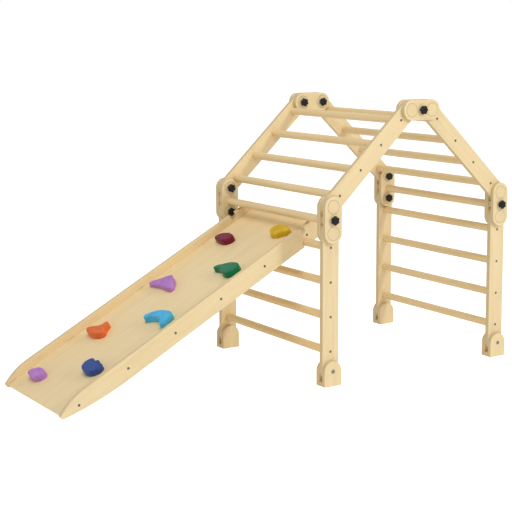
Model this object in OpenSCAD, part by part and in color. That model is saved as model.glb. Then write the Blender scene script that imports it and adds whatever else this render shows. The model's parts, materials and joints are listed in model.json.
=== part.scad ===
// Folding climbing arch for toddlers, with a climbing ramp hooked over a rung.
// Four ladders (two legs, two roofs) are joined in a row by three pairs of
// double-pivot links. X runs along the ramp, Y across the rungs, Z is up, and
// the origin is on the floor below the middle of the overall length and width.

/* [Ladders] */
// Spacing of the rungs along a ladder
rung_pitch = 120; // [100:1:140]
// Diameter of every rung
rung_d = 28; // [22:1:30]
// Pivot of a link to the nearest rung
hinge_to_rung = 50; // [48:1:70]
// Foot pin to the lowest rung
foot_to_rung = 67; // [66:1:90]
// Width of a side rail
rail_w = 68; // [56:1:69]
// Thickness of a side rail
rail_t = 18; // [15:1:22]
// Overall width across the outer faces of the rails
frame_w = 686; // [650:2:800]
// Half of the distance between the two legs
leg_x = 380; // [320:1:420]

/* [Links] */
// Distance between the two pivots of a link
link_pitch = 90; // [90:1:110]
// Width of a link plate
plate_w = 72; // [70:1:78]
// Thickness of a link plate
plate_t = 15; // [12:1:18]
// Diameter of the hub discs seen in the plates
hub_d = 48; // [44:1:50]

/* [Feet] */
// Height of the foot pin above the floor
foot_pin_z = 52; // [50:1:60]
// Length of a foot along X
foot_w = 72; // [70:1:90]
// Height of a foot
foot_h = 88; // [86:1:92]
// Thickness of a foot across the rail
foot_t = 50; // [44:1:60]

/* [Knobs] */
// Diameter over the lobes of a knob
knob_d = 33; // [28:1:40]
// Height of a knob above the face it clamps
knob_h = 16; // [12:1:20]
// Diameter of a knob's threaded stud
stud_d = 8; // [6:1:10]

/* [Ramp] */
// Overall width of the ramp
ramp_w = 466; // [400:2:500]
// Sideways place of the ramp on its rung
ramp_y = 34; // [0:1:40]
// Height of a ramp side board
board_h = 68; // [60:1:80]
// Thickness of a ramp side board
board_t = 18; // [15:1:22]
// Rung centre to the tip of the lower end
ramp_down = 1045; // [1000:1:1100]
// Rung centre to the upper end
ramp_up = 86; // [40:1:90]
// Thickness of the deck
deck_t = 9; // [6:1:15]

/* [Hidden] */

$fn = 64;
birch = "#F1DBB0";
beech = "#DEC48E";
deck_ply = "#DEC79C";
black = "#1C1A18";
steel = "#B9BCC0";

// Working clearance on a radius, and between faces that slide on each other
fit = 0.05;
side_play = 0.1;
// Cut margin that takes a tool past the face it cuts
past = 1;
// Room left in a bore beyond the end of its screw or stud
tip_gap = 1;
// Gap between a pair of plates, or the cheeks of a foot, that straddle a rail
rail_gap = rail_t + 2 * side_play;
// Straight pieces in every curved outline
arc_steps = 12;

rungs = 4;
rung_seat = 8;          // depth of a rung's socket in a rail
cross_seat = 5;         // depth of a cross rung's socket in a plate
screw_d = 5;
screw_head_d = 8.5;
screw_head_h = 3;
screw_len = 45;
screw_hex = 4;          // socket of a screw, across corners
screw_socket = 2;       // and its depth

rail_out = frame_w / 2;                       // outer face of a rail
rail_in = rail_out - rail_t;                  // inner face of a rail
outer_plate_y = rail_out + side_play;         // inner side of an outer plate
inner_plate_y = rail_in - side_play;          // outer side of an inner plate
outer_face_y = outer_plate_y + plate_t;
inner_face_y = inner_plate_y - plate_t;

leg_len = foot_to_rung + (rungs - 1) * rung_pitch + hinge_to_rung;
roof_len = hinge_to_rung + (rungs - 1) * rung_pitch + hinge_to_rung;
eave_low_z = foot_pin_z + leg_len;
eave_high_z = eave_low_z + link_pitch;
roof_run = leg_x - link_pitch / 2;
roof_lean = asin(roof_run / roof_len);        // lean of a roof from upright
ridge_z = eave_high_z + roof_len * cos(roof_lean);

hub_lip_h = 6;
hub_core_d = 34;
spacer_len = 20;        // along the link, clear of both rail ends
spacer_w = 56;
cross_drop = 5;         // cross rung below the middle of its link

knob_collar_d = 18;
knob_collar_h = 5;
knob_lobes = 6;
knob_scallop_d = 15;
knob_scallop_out = 4;   // scallop centres beyond the lobes' circle
stud_grip = 10;         // stud held in a plate or hub that carries the thread
cross_grip = 25;        // stud held in the end of a cross rung

foot_rail_gap = 2;      // rail end above the bottom of the fork
foot_floor_t = foot_pin_z - rail_w / 2 - foot_rail_gap;
foot_arch_r = foot_w / 2;
foot_y = (rail_out + rail_in) / 2;            // middle of a foot across the frame
foot_bolt_head_d = 14;
foot_bolt_head_h = 3;
foot_bolt_hex = 6;
foot_bolt_socket = 2;

hook_rung_z = foot_pin_z + foot_to_rung + (rungs - 1) * rung_pitch;
hook_r = rung_d / 2 + fit;
hook_depth = 11.5;      // rung centre above the lower edge of a board
board_low = -hook_depth;
board_top = board_h - hook_depth;
board_mid = (board_low + board_top) / 2;
ramp_corner_r = 12;     // corners of the upper end
deck_top = board_mid + deck_t / 2;
deck_groove = 5;
deck_low_gap = 6;       // deck ends short of the boards' tips
deck_high_gap = 2;
deck_low = ramp_down - deck_low_gap;
deck_high = deck_high_gap - ramp_up;
ramp_in = ramp_w / 2 - board_t;
ramp_screw_first = -13;
ramp_screw_pitch = 198;
ramp_screw_count = 6;
ramp_screw_d = 4;
nose_top_r = 225;
nose_top_run = 107;
nose_low_r = 1200;
nose_low_run = 257;
tip_r = 9;              // length of the rounded tip beyond both sweeps
tip_x = ramp_down - tip_r;
low_sweep = asin((nose_low_run - tip_r) / nose_low_r);
top_sweep = asin((nose_top_run - tip_r) / nose_top_r);
tip_low = board_low + nose_low_r * (1 - cos(low_sweep));
tip_top = board_top - nose_top_r * (1 - cos(top_sweep));
tip_mid = (tip_top + tip_low) / 2;
tip_round = (tip_top - tip_low) / 2;
// Slope at which the round tip rests on the floor
ramp_slope = asin((hook_rung_z - tip_round) / norm([tip_x, tip_mid])) + atan2(tip_mid, tip_x);
// Middle of the overall length, measured from midway between the legs
ramp_end_x = -leg_x - tip_x * cos(ramp_slope) - tip_mid * sin(ramp_slope) - tip_round;
foot_end_x = leg_x + foot_w / 2;
mid_x = (ramp_end_x + foot_end_x) / 2;

bolt_d = 6;
bolt_head_d = 12;
bolt_head_h = 3;
bolt_hex = 4.5;
bolt_socket = 2;
bolt_grip = 14;         // bolt held in a hold
washer_d = 20;
washer_t = 1.5;

// Each hold: place along and across the deck, height, its two bolts [x, y], and
// its lobes, each a blend of round spots [x, y, radius]
HOLDS = [
    [956, 125, 24, [[3, -26], [4, 14]], [[[2, -28, 22], [4, 14, 24]]]],
    [838, -96, 24, [[2, -28], [6, 12]], [[[0, -32, 20], [8, 8, 29]]]],
    [695, 121, 24, [[13, 22], [15, -18]], [
        [[12, 24, 20], [22, -28, 16]], [[15, -18, 18], [-2, -8, 20]], [[-2, -8, 20], [-22, -29, 10]]]],
    [559, -92, 25, [[-6, 10], [-10, -36]], [
        [[16, 46, 15], [-8, 6, 19]], [[-8, 6, 19], [-10, -38, 24]], [[-10, -38, 24], [20, -58, 11]]]],
    [413, 122, 22, [[-6, 2], [-10, -38]], [
        [[13, 52, 10], [-8, -8, 16]], [[-8, -8, 16], [-24, -28, 14], [4, -72, 12]]]],
    [259, -107, 22, [[-6, 14], [-2, -30]], [
        [[4, 56, 12], [-8, 14, 18]], [[-8, 14, 18], [-12, -24, 20], [10, -36, 20]]]],
    [114, 122, 23, [[4, -24], [7, 18]], [[[4, -26, 22], [8, 20, 22]]]],
    [16, -117, 24, [[-1, -20], [4, 18]], [[[-6, -38, 11], [4, 14, 27]]]],
];
hold_shoulder = 0.6;    // share of a hold's height with upright sides
hold_round = 6;         // inset of the top from the sides
hold_facets = 32;

// ---------- 2-D outlines ----------

// Points of an arc, in degrees
function arc(c, r, a0, a1) =
    [for (i = [0 : arc_steps]) c + r * turn(a0 + (a1 - a0) * i / arc_steps)];

// Direction at an angle
function turn(a) = [cos(a), sin(a)];

// Bar with round ends: centres at the origin and at [0, len]
module stadium(len, w) {
    circle(d = w);
    translate([0, len]) circle(d = w);
    translate([-w / 2, 0]) square([w, len]);
}

// ---------- placing ----------

// Stands a 2-D outline drawn in X-Z up at y0..y0+t
module slab(y0, t) {
    translate([0, y0 + t, 0]) rotate([90, 0, 0]) linear_extrude(t) children();
}

// Cylinder along Y from y0 to y1
module bar_y(d, y0, y1) {
    translate([0, min(y0, y1), 0]) rotate([-90, 0, 0]) cylinder(d = d, h = abs(y1 - y0));
}

// Cylinder along Z from z0 to z1
module bore_z(d, z0, z1) {
    translate([0, 0, z0]) cylinder(d = d, h = z1 - z0);
}

// Hexagonal bar along Y from y0 to y1
module hex_y(d, y0, y1) {
    translate([0, y0, 0]) rotate([-90, 0, 0]) cylinder(d = d, h = y1 - y0, $fn = 6);
}

// Draws a child at the front and again, mirrored, at the back
module front_and_back() {
    children();
    mirror([0, 1, 0]) children();
}

module at_leg(side) {
    translate([side * leg_x - mid_x, 0, foot_pin_z]) children();
}

module at_roof(side) {
    translate([side * leg_x - mid_x, 0, eave_high_z]) rotate([0, -side * roof_lean, 0]) children();
}

module at_eave(side) {
    translate([side * leg_x - mid_x, 0, eave_low_z]) children();
}

// The ridge link lies down: its pivots run along X
module at_ridge() {
    translate([-link_pitch / 2 - mid_x, 0, ridge_z]) rotate([0, 90, 0]) children();
}

// Ramp frame: origin at the hooked rung, +X down the slope, +Z out of the deck
module at_ramp() {
    translate([-leg_x - mid_x, ramp_y, hook_rung_z]) rotate([0, -ramp_slope, 0])
        mirror([1, 0, 0]) children();
}

// ---------- ladders ----------
// A ladder stands on its lower pivot at the origin; first is the height of its
// lowest rung and len the distance to its upper pivot.

// Front rail, with blind sockets for the rungs and a bore at each pivot
module rail(len, first) {
    difference() {
        slab(-rail_out, rail_t) stadium(len, rail_w);
        for (z = [0, len])
            translate([0, 0, z]) bar_y(stud_d + 2 * fit, -rail_out - past, -rail_in + past);
        for (i = [0 : rungs - 1]) translate([0, 0, first + i * rung_pitch]) {
            bar_y(rung_d + 2 * fit, -rail_in - rung_seat, -rail_in + past);
            bar_y(screw_d + 2 * fit, -rail_out - past, -rail_in);
            bar_y(screw_head_d + 2 * fit, -rail_out - past, -rail_out + screw_head_h);
        }
    }
}

// One rung: its ends sit in the rails' sockets and take a screw each
module rung() {
    reach = rail_in + rung_seat;
    difference() {
        bar_y(rung_d, -reach, reach);
        front_and_back() bar_y(screw_d + 2 * fit, -reach - past, -rail_out + screw_len + tip_gap);
    }
}

module rungs(first) {
    for (i = [0 : rungs - 1]) translate([0, 0, first + i * rung_pitch]) rung();
}

// Socket screw with its flush head at y = y0, running towards +Y
module socket_screw(d, y0) {
    difference() {
        union() {
            bar_y(screw_head_d, y0, y0 + screw_head_h);
            bar_y(d, y0, y0 + screw_len);
        }
        hex_y(screw_hex, y0 - past, y0 + screw_socket);
    }
}

module rung_screws(first) {
    for (i = [0 : rungs - 1]) translate([0, 0, first + i * rung_pitch])
        front_and_back() socket_screw(screw_d, -rail_out);
}

// Hub disc outside a front rail: a lip over the plate, blind thread for the stud
module outer_hub() {
    difference() {
        union() {
            bar_y(hub_d, -outer_face_y, -outer_face_y + hub_lip_h);
            bar_y(hub_core_d, -outer_face_y, -rail_out);
        }
        bar_y(stud_d + 2 * fit, -rail_out - stud_grip - tip_gap, -rail_out + past);
    }
}

// Hub disc inside a front rail: the knob's stud passes through it
module inner_hub() {
    difference() {
        union() {
            bar_y(hub_d, -inner_face_y - hub_lip_h, -inner_face_y);
            bar_y(hub_core_d, -rail_in, -inner_face_y);
        }
        bar_y(stud_d + 2 * fit, -rail_in - past, -inner_face_y + past);
    }
}

module hubs(heights) {
    for (z = heights) translate([0, 0, z]) front_and_back() {
        outer_hub();
        inner_hub();
    }
}

// ---------- knobs ----------

// Lobed knob with its stud: the clamped face is at y = 0 and the stud runs to +Y
module knob(stud_len) {
    step = 360 / knob_lobes;
    difference() {
        bar_y(knob_d, -knob_h, -knob_collar_h);
        for (i = [0 : knob_lobes - 1]) rotate([0, i * step, 0])
            translate([knob_d / 2 + knob_scallop_out, 0, 0])
                bar_y(knob_scallop_d, -knob_h - past, -knob_collar_h + past);
    }
    bar_y(knob_collar_d, -knob_collar_h, 0);
    bar_y(stud_d, -knob_collar_h, stud_len);
}

// Knob on the inner side of a front pivot, its stud running out through the rail
module pivot_knobs() {
    front_and_back() translate([0, -inner_face_y, 0]) mirror([0, 1, 0])
        knob(plate_t + side_play + rail_t + stud_grip);
}

module middle_knobs(stud_len) {
    front_and_back() translate([0, -outer_face_y, 0]) knob(stud_len);
}

// ---------- links ----------
// A link stands on its lower pivot at the origin, its other pivot link_pitch up.

// Plate with a stepped hole for a hub at each pivot; y_in is the side that faces
// the rail, y_out the side that shows
module plate(y_in, y_out) {
    lip_y = y_out + sign(y_in - y_out) * (hub_lip_h + side_play);
    show_y = y_out - sign(y_in - y_out) * past;
    difference() {
        slab(min(y_in, y_out), plate_t) stadium(link_pitch, plate_w);
        for (z = [0, link_pitch]) translate([0, 0, z]) {
            bar_y(hub_d + 2 * fit, show_y, lip_y);
            bar_y(hub_core_d + 2 * fit, show_y, y_in + sign(y_in - y_out) * past);
        }
    }
}

module at_middle() {
    translate([0, 0, link_pitch / 2]) children();
}

module at_cross() {
    translate([0, 0, link_pitch / 2 - cross_drop]) children();
}

module outer_plates() {
    front_and_back() difference() {
        plate(-outer_plate_y, -outer_face_y);
        at_middle() bar_y(stud_d + 2 * fit, -outer_face_y - past, -outer_plate_y + past);
    }
}

// Inner plates of an eave: the cross rung sits in a shallow socket
module eave_inner_pair() {
    front_and_back() difference() {
        plate(-inner_plate_y, -inner_face_y);
        at_middle() bar_y(stud_d + 2 * fit, -inner_plate_y - past, -inner_face_y + past);
        at_cross() bar_y(rung_d + 2 * fit, -inner_face_y - cross_seat, -inner_face_y + past);
    }
}

// Inner plates of the ridge: a blind thread for the middle knob, plain inside
module ridge_inner_pair() {
    front_and_back() difference() {
        plate(-inner_plate_y, -inner_face_y);
        at_middle() bar_y(stud_d + 2 * fit, -inner_plate_y - past, -inner_plate_y + stud_grip + tip_gap);
    }
}

module spacers() {
    front_and_back() at_middle() difference() {
        translate([-spacer_w / 2, -outer_plate_y, -spacer_len / 2])
            cube([spacer_w, rail_gap, spacer_len]);
        bar_y(stud_d + 2 * fit, -outer_plate_y - past, -inner_plate_y + past);
    }
}

module cross_rung() {
    reach = inner_face_y + cross_seat;
    difference() {
        at_cross() bar_y(rung_d, -reach, reach);
        at_middle() front_and_back()
            bar_y(stud_d + 2 * fit, -reach - past, -reach + cross_grip + tip_gap);
    }
}

module eave_middle_knobs() {
    at_middle() middle_knobs(2 * plate_t - cross_seat + rail_gap + cross_grip);
}

// ---------- feet ----------

// Forked block that straddles the lower end of a front rail
module foot() {
    difference() {
        slab(-foot_y - foot_t / 2, foot_t) {
            translate([0, foot_h - foot_pin_z - foot_arch_r]) circle(r = foot_arch_r);
            translate([-foot_w / 2, -foot_pin_z]) square([foot_w, foot_h - foot_arch_r]);
        }
        translate([-foot_w, -foot_y - rail_gap / 2, foot_floor_t - foot_pin_z])
            cube([2 * foot_w, rail_gap, foot_h]);
        bar_y(stud_d + 2 * fit, -foot_y - foot_t, -foot_y + foot_t);
        for (side = [-1, 1]) translate([0, -foot_y + side * foot_t / 2, 0])
            bar_y(foot_bolt_head_d + 2 * fit, side * past, -side * foot_bolt_head_h);
    }
}

// Sleeve bolt through a foot: a round head with a hex socket at each end
module foot_bolt() {
    difference() {
        union() {
            bar_y(stud_d, -foot_y - foot_t / 2, -foot_y + foot_t / 2);
            for (side = [-1, 1]) translate([0, -foot_y + side * foot_t / 2, 0])
                bar_y(foot_bolt_head_d, 0, -side * foot_bolt_head_h);
        }
        for (side = [-1, 1]) translate([0, -foot_y + side * foot_t / 2, 0])
            hex_y(foot_bolt_hex, -foot_bolt_socket, foot_bolt_socket);
    }
}

// ---------- ramp ----------
// Drawn in the ramp frame: X down the slope from the rung, Z out of the deck.

// Side outline: the lower tip is swept, the upper end has round corners
module board_outline() {
    polygon(concat(
        arc([ramp_corner_r - ramp_up, board_top - ramp_corner_r], ramp_corner_r, 90, 180),
        arc([ramp_corner_r - ramp_up, board_low + ramp_corner_r], ramp_corner_r, 180, 270),
        arc([ramp_down - nose_low_run, board_low + nose_low_r], nose_low_r, -90, low_sweep - 90),
        arc([tip_x, tip_mid], tip_round, low_sweep - 90, 90 - top_sweep),
        arc([ramp_down - nose_top_run, board_top - nose_top_r], nose_top_r, 90 - top_sweep, 90)
    ));
}

// Places of the screws along a board, level with the deck's edge
module ramp_screw_places() {
    for (i = [0 : ramp_screw_count - 1])
        translate([ramp_screw_first + i * ramp_screw_pitch, 0, board_mid]) children();
}

// Notch that drops over a rung, open towards -Z
module hook_notch() {
    bar_y(2 * hook_r, -ramp_w, 0);
    translate([-hook_r, -ramp_w, -board_h]) cube([2 * hook_r, ramp_w, board_h]);
}

// Front board, with the deck's groove and the screw holes; it has a hook notch in
// both edges, so that the ramp can be turned over
module ramp_board() {
    difference() {
        slab(-ramp_w / 2, board_t) board_outline();
        hook_notch();
        translate([0, 0, 2 * board_mid]) mirror([0, 0, 1]) hook_notch();
        translate([deck_high - fit, -ramp_in - deck_groove, deck_top - deck_t])
            cube([deck_low - deck_high + 2 * fit, ramp_w, deck_t]);
        ramp_screw_places() {
            bar_y(ramp_screw_d + 2 * fit, -ramp_w, 0);
            bar_y(screw_head_d + 2 * fit, -ramp_w, -ramp_w / 2 + screw_head_h);
        }
    }
}

module board_screws() {
    ramp_screw_places() front_and_back() socket_screw(ramp_screw_d, -ramp_w / 2);
}

// Draws a child at every bolt of a hold, at the deck's surface
module at_bolts(hold) {
    for (bolt = hold[3])
        translate([hold[0] + bolt[0], hold[1] + bolt[1], deck_top]) children();
}

// Plywood deck: its long edges sit in the boards' grooves
module deck() {
    deck_w = 2 * (ramp_in + deck_groove) - 2 * fit;
    difference() {
        translate([deck_high, -deck_w / 2, deck_top - deck_t])
            cube([deck_low - deck_high, deck_w, deck_t]);
        ramp_screw_places() front_and_back()
            bar_y(ramp_screw_d + 2 * fit, -ramp_w / 2, -ramp_w / 2 + screw_len + tip_gap);
        for (hold = HOLDS) at_bolts(hold) bore_z(bolt_d + 2 * fit, -deck_t - past, past);
    }
}

// ---------- climbing holds ----------

// Round spot of a hold, from the deck up to a slightly smaller top
module spot(r, height) {
    cylinder(r = r, h = height * hold_shoulder, $fn = hold_facets);
    cylinder(r = r - hold_round, h = height, $fn = hold_facets);
}

// Moulded grip with a blind thread for each of its bolts
module grip(hold) {
    difference() {
        translate([hold[0], hold[1], deck_top])
            for (lobe = hold[4]) hull()
                for (s = lobe) translate([s[0], s[1], 0]) spot(s[2], hold[2]);
        at_bolts(hold) bore_z(bolt_d + 2 * fit, -past, bolt_grip + tip_gap);
    }
}

// Socket bolt that comes up through a washer and the deck into a hold
module grip_bolt() {
    seat = -deck_t - washer_t;
    difference() {
        union() {
            bore_z(bolt_head_d, seat - bolt_head_h, seat);
            bore_z(bolt_d, seat, bolt_grip);
        }
        translate([0, 0, seat - bolt_head_h - past])
            cylinder(d = bolt_hex, h = bolt_socket + past, $fn = 6);
    }
}

module washer() {
    difference() {
        bore_z(washer_d, -deck_t - washer_t, -deck_t);
        bore_z(bolt_d + 2 * fit, -deck_t - washer_t - past, -deck_t + past);
    }
}

// ---------- sub-parts, each in its place ----------

module ridge_outer_plates() {
    color(birch) at_ridge() outer_plates();
}

module ridge_inner_plates() {
    color(birch) at_ridge() ridge_inner_pair();
}

module ridge_spacers() {
    color(birch) at_ridge() spacers();
}

module ridge_middle_knobs() {
    color(black) at_ridge() at_middle() middle_knobs(plate_t + spacer_t + stud_grip);
}

module eave_left_outer_plates() {
    color(birch) at_eave(-1) outer_plates();
}

module eave_left_inner_plates() {
    color(birch) at_eave(-1) eave_inner_pair();
}

module eave_left_spacers() {
    color(birch) at_eave(-1) spacers();
}

module eave_left_cross_rung() {
    color(beech) at_eave(-1) cross_rung();
}

module eave_left_middle_knobs() {
    color(black) at_eave(-1) eave_middle_knobs();
}

module eave_right_outer_plates() {
    color(birch) at_eave(1) outer_plates();
}

module eave_right_inner_plates() {
    color(birch) at_eave(1) eave_inner_pair();
}

module eave_right_spacers() {
    color(birch) at_eave(1) spacers();
}

module eave_right_cross_rung() {
    color(beech) at_eave(1) cross_rung();
}

module eave_right_middle_knobs() {
    color(black) at_eave(1) eave_middle_knobs();
}

module leg_left_rail_front() {
    color(birch) at_leg(-1) rail(leg_len, foot_to_rung);
}

module leg_left_rail_back() {
    color(birch) at_leg(-1) mirror([0, 1, 0]) rail(leg_len, foot_to_rung);
}

module leg_left_rungs() {
    color(beech) at_leg(-1) rungs(foot_to_rung);
}

module leg_left_screws() {
    color(steel) at_leg(-1) rung_screws(foot_to_rung);
}

module leg_left_hubs() {
    color(birch) at_leg(-1) hubs([leg_len]);
}

module leg_left_knobs() {
    color(black) at_leg(-1) translate([0, 0, leg_len]) pivot_knobs();
}

module leg_left_foot_bolts() {
    color(steel) at_leg(-1) front_and_back() foot_bolt();
}

module leg_right_rail_front() {
    color(birch) at_leg(1) rail(leg_len, foot_to_rung);
}

module leg_right_rail_back() {
    color(birch) at_leg(1) mirror([0, 1, 0]) rail(leg_len, foot_to_rung);
}

module leg_right_rungs() {
    color(beech) at_leg(1) rungs(foot_to_rung);
}

module leg_right_screws() {
    color(steel) at_leg(1) rung_screws(foot_to_rung);
}

module leg_right_hubs() {
    color(birch) at_leg(1) hubs([leg_len]);
}

module leg_right_knobs() {
    color(black) at_leg(1) translate([0, 0, leg_len]) pivot_knobs();
}

module leg_right_foot_bolts() {
    color(steel) at_leg(1) front_and_back() foot_bolt();
}

module roof_left_rail_front() {
    color(birch) at_roof(-1) rail(roof_len, hinge_to_rung);
}

module roof_left_rail_back() {
    color(birch) at_roof(-1) mirror([0, 1, 0]) rail(roof_len, hinge_to_rung);
}

module roof_left_rungs() {
    color(beech) at_roof(-1) rungs(hinge_to_rung);
}

module roof_left_screws() {
    color(steel) at_roof(-1) rung_screws(hinge_to_rung);
}

module roof_left_hubs() {
    color(birch) at_roof(-1) hubs([0, roof_len]);
}

module roof_left_lower_knobs() {
    color(black) at_roof(-1) pivot_knobs();
}

module roof_left_upper_knobs() {
    color(black) at_roof(-1) translate([0, 0, roof_len]) pivot_knobs();
}

module roof_right_rail_front() {
    color(birch) at_roof(1) rail(roof_len, hinge_to_rung);
}

module roof_right_rail_back() {
    color(birch) at_roof(1) mirror([0, 1, 0]) rail(roof_len, hinge_to_rung);
}

module roof_right_rungs() {
    color(beech) at_roof(1) rungs(hinge_to_rung);
}

module roof_right_screws() {
    color(steel) at_roof(1) rung_screws(hinge_to_rung);
}

module roof_right_hubs() {
    color(birch) at_roof(1) hubs([0, roof_len]);
}

module roof_right_lower_knobs() {
    color(black) at_roof(1) pivot_knobs();
}

module roof_right_upper_knobs() {
    color(black) at_roof(1) translate([0, 0, roof_len]) pivot_knobs();
}

module foot_left_front() {
    color(birch) at_leg(-1) foot();
}

module foot_left_back() {
    color(birch) at_leg(-1) mirror([0, 1, 0]) foot();
}

module foot_right_front() {
    color(birch) at_leg(1) foot();
}

module foot_right_back() {
    color(birch) at_leg(1) mirror([0, 1, 0]) foot();
}

module ramp_deck() {
    color(deck_ply) at_ramp() deck();
}

module ramp_board_front() {
    color(birch) at_ramp() ramp_board();
}

module ramp_board_back() {
    color(birch) at_ramp() mirror([0, 1, 0]) ramp_board();
}

module ramp_screws() {
    color(steel) at_ramp() board_screws();
}

module hold_lilac_pebble() {
    color("#B57CC8") at_ramp() grip(HOLDS[0]);
}

module hold_navy_shell() {
    color("#3B4C8E") at_ramp() grip(HOLDS[1]);
}

module hold_orange_bean() {
    color("#F07038") at_ramp() grip(HOLDS[2]);
}

module hold_sky_crescent() {
    color("#55BDE6") at_ramp() grip(HOLDS[3]);
}

module hold_lilac_fin() {
    color("#B57CC8") at_ramp() grip(HOLDS[4]);
}

module hold_green_leaf() {
    color("#147A4E") at_ramp() grip(HOLDS[5]);
}

module hold_maroon_button() {
    color("#7E2238") at_ramp() grip(HOLDS[6]);
}

module hold_yellow_drop() {
    color("#D6AE2C") at_ramp() grip(HOLDS[7]);
}

module hold_bolts() {
    color(steel) at_ramp() for (hold = HOLDS) at_bolts(hold) grip_bolt();
}

module hold_washers() {
    color(steel) at_ramp() for (hold = HOLDS) at_bolts(hold) washer();
}

ridge_outer_plates();
ridge_inner_plates();
ridge_spacers();
ridge_middle_knobs();
eave_left_outer_plates();
eave_left_inner_plates();
eave_left_spacers();
eave_left_cross_rung();
eave_left_middle_knobs();
eave_right_outer_plates();
eave_right_inner_plates();
eave_right_spacers();
eave_right_cross_rung();
eave_right_middle_knobs();
leg_left_rail_front();
leg_left_rail_back();
leg_left_rungs();
leg_left_screws();
leg_left_hubs();
leg_left_knobs();
leg_left_foot_bolts();
leg_right_rail_front();
leg_right_rail_back();
leg_right_rungs();
leg_right_screws();
leg_right_hubs();
leg_right_knobs();
leg_right_foot_bolts();
roof_left_rail_front();
roof_left_rail_back();
roof_left_rungs();
roof_left_screws();
roof_left_hubs();
roof_left_lower_knobs();
roof_left_upper_knobs();
roof_right_rail_front();
roof_right_rail_back();
roof_right_rungs();
roof_right_screws();
roof_right_hubs();
roof_right_lower_knobs();
roof_right_upper_knobs();
foot_left_front();
foot_left_back();
foot_right_front();
foot_right_back();
ramp_deck();
ramp_board_front();
ramp_board_back();
ramp_screws();
hold_lilac_pebble();
hold_navy_shell();
hold_orange_bean();
hold_sky_crescent();
hold_lilac_fin();
hold_green_leaf();
hold_maroon_button();
hold_yellow_drop();
hold_bolts();
hold_washers();
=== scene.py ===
"""Looks for the folding climbing arch and its ramp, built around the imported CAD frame.

Every piece is drawn in its own frame (metres): X across, Y through the thickness, Z along the part.
"""

import json
import math

import bmesh
import bpy
from mathutils import Matrix, Vector
from mathutils.geometry import tessellate_polygon


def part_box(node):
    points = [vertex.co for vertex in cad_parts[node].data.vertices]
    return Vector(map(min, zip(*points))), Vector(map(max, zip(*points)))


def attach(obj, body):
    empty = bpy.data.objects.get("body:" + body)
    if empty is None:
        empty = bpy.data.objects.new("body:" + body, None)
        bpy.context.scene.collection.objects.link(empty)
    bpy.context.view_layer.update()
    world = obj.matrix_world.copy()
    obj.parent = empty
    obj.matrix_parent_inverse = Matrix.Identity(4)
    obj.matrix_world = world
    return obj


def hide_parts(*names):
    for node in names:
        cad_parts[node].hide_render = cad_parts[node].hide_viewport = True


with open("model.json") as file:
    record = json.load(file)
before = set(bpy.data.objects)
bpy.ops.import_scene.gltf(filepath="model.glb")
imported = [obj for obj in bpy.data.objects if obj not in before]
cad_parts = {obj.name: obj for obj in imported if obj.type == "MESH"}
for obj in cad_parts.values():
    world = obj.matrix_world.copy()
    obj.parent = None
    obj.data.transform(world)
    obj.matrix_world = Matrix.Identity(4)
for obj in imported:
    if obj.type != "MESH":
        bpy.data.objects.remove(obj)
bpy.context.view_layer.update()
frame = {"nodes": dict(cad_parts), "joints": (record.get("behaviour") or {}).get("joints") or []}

# ---------------------------------------------------------------- sizes, in metres
RUNG_PITCH = 0.120
RUNGS = 4
RUNG_R = 0.014
HINGE_TO_RUNG = 0.050
FOOT_TO_RUNG = 0.067
RAIL_W = 0.068
RAIL_T = 0.018
PIVOT_GAP = 0.0001
PLATE_W = 0.072
LINK_PITCH = 0.090
HUB_R = 0.024
HUB_GAP = 0.0004  # between a hub disc and its opening
SCREW_HEAD_R = 0.00425
SCREW_HOLE_R = SCREW_HEAD_R + 0.0002
SCREW_HOLE_DEPTH = 0.005
SCREW_SUNK = 0.0004  # screw head below the wood
STUD_R = 0.0039
RIDGE_MIDDLE_STUD = 0.0432
EAVE_MIDDLE_STUD = 0.068
FOOT_PIN_Z = 0.052
FOOT_R = 0.036
FOOT_HALF = 0.025  # half the thickness of a foot
FOOT_SLOT_HALF = 0.0091
FOOT_SLOT_FLOOR = -0.036  # from the pivot
FOOT_CORNER_R = 0.004
FOOT_BOLT_R = 0.007
FOOT_BOLT_SHANK_R = 0.004
FOOT_BOLT_REACH = 0.0215
BOARD_H = 0.068
BOARD_LOW = -0.0115
HOOK_R = RUNG_R + 0.00005
BOARD_MID = BOARD_LOW + BOARD_H / 2
BOARD_T = 0.018
BOARD_TIP_R = 0.009  # rise of the nose's end beyond its two long arcs
NOSE_LOW_R, NOSE_LOW_RUN = 1.2, 0.257
NOSE_TOP_R, NOSE_TOP_RUN = 0.225, 0.107
RAMP_SCREW_FIRST = 0.013
RAMP_SCREW_PITCH = 0.198
RAMP_SCREWS = 6
DECK_T = 0.009
RAMP_DOWN = 1.045
RAMP_UP = 0.086
RAMP_CORNER_R = 0.012
RAMP_SLOPE = math.radians(28.26)
DECK_SHORT_LOW = 0.006  # deck shorter than the boards at the lower end
DECK_SHORT_HIGH = 0.002
CROSS_DROP = 0.005  # cross rung below the middle of its link

joint_at = {j["name"]: Vector(j["pos_m"]) for j in frame["joints"]}


def y_span(node):
    """Nearest and furthest distance of a node from the middle plane, on its +Y or -Y side."""
    lo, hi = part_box(node)
    side = 1 if lo.y + hi.y > 0 else -1
    a, b = abs(lo.y), abs(hi.y)
    return side, min(a, b), max(a, b)


RAIL_IN, RAIL_OUT = y_span("leg_left_rail_front")[1:]
PLATE_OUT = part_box("eave_left_outer_plates")[1].y
PLATE_T = 0.015
PLATE_IN = PLATE_OUT - PLATE_T
INNER_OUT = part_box("eave_left_inner_plates")[1].y
INNER_IN = INNER_OUT - PLATE_T
RAIL_MIDDLE = (RAIL_IN + RAIL_OUT) / 2

# ---------------------------------------------------------------- 2-D outlines


def arc(cx, cz, r, a0, a1, n=16):
    """Points of an arc, with its angles in degrees."""
    turn = [math.radians(a0 + (a1 - a0) * i / n) for i in range(n + 1)]
    return [(cx + r * math.cos(t), cz + r * math.sin(t)) for t in turn]


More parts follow.
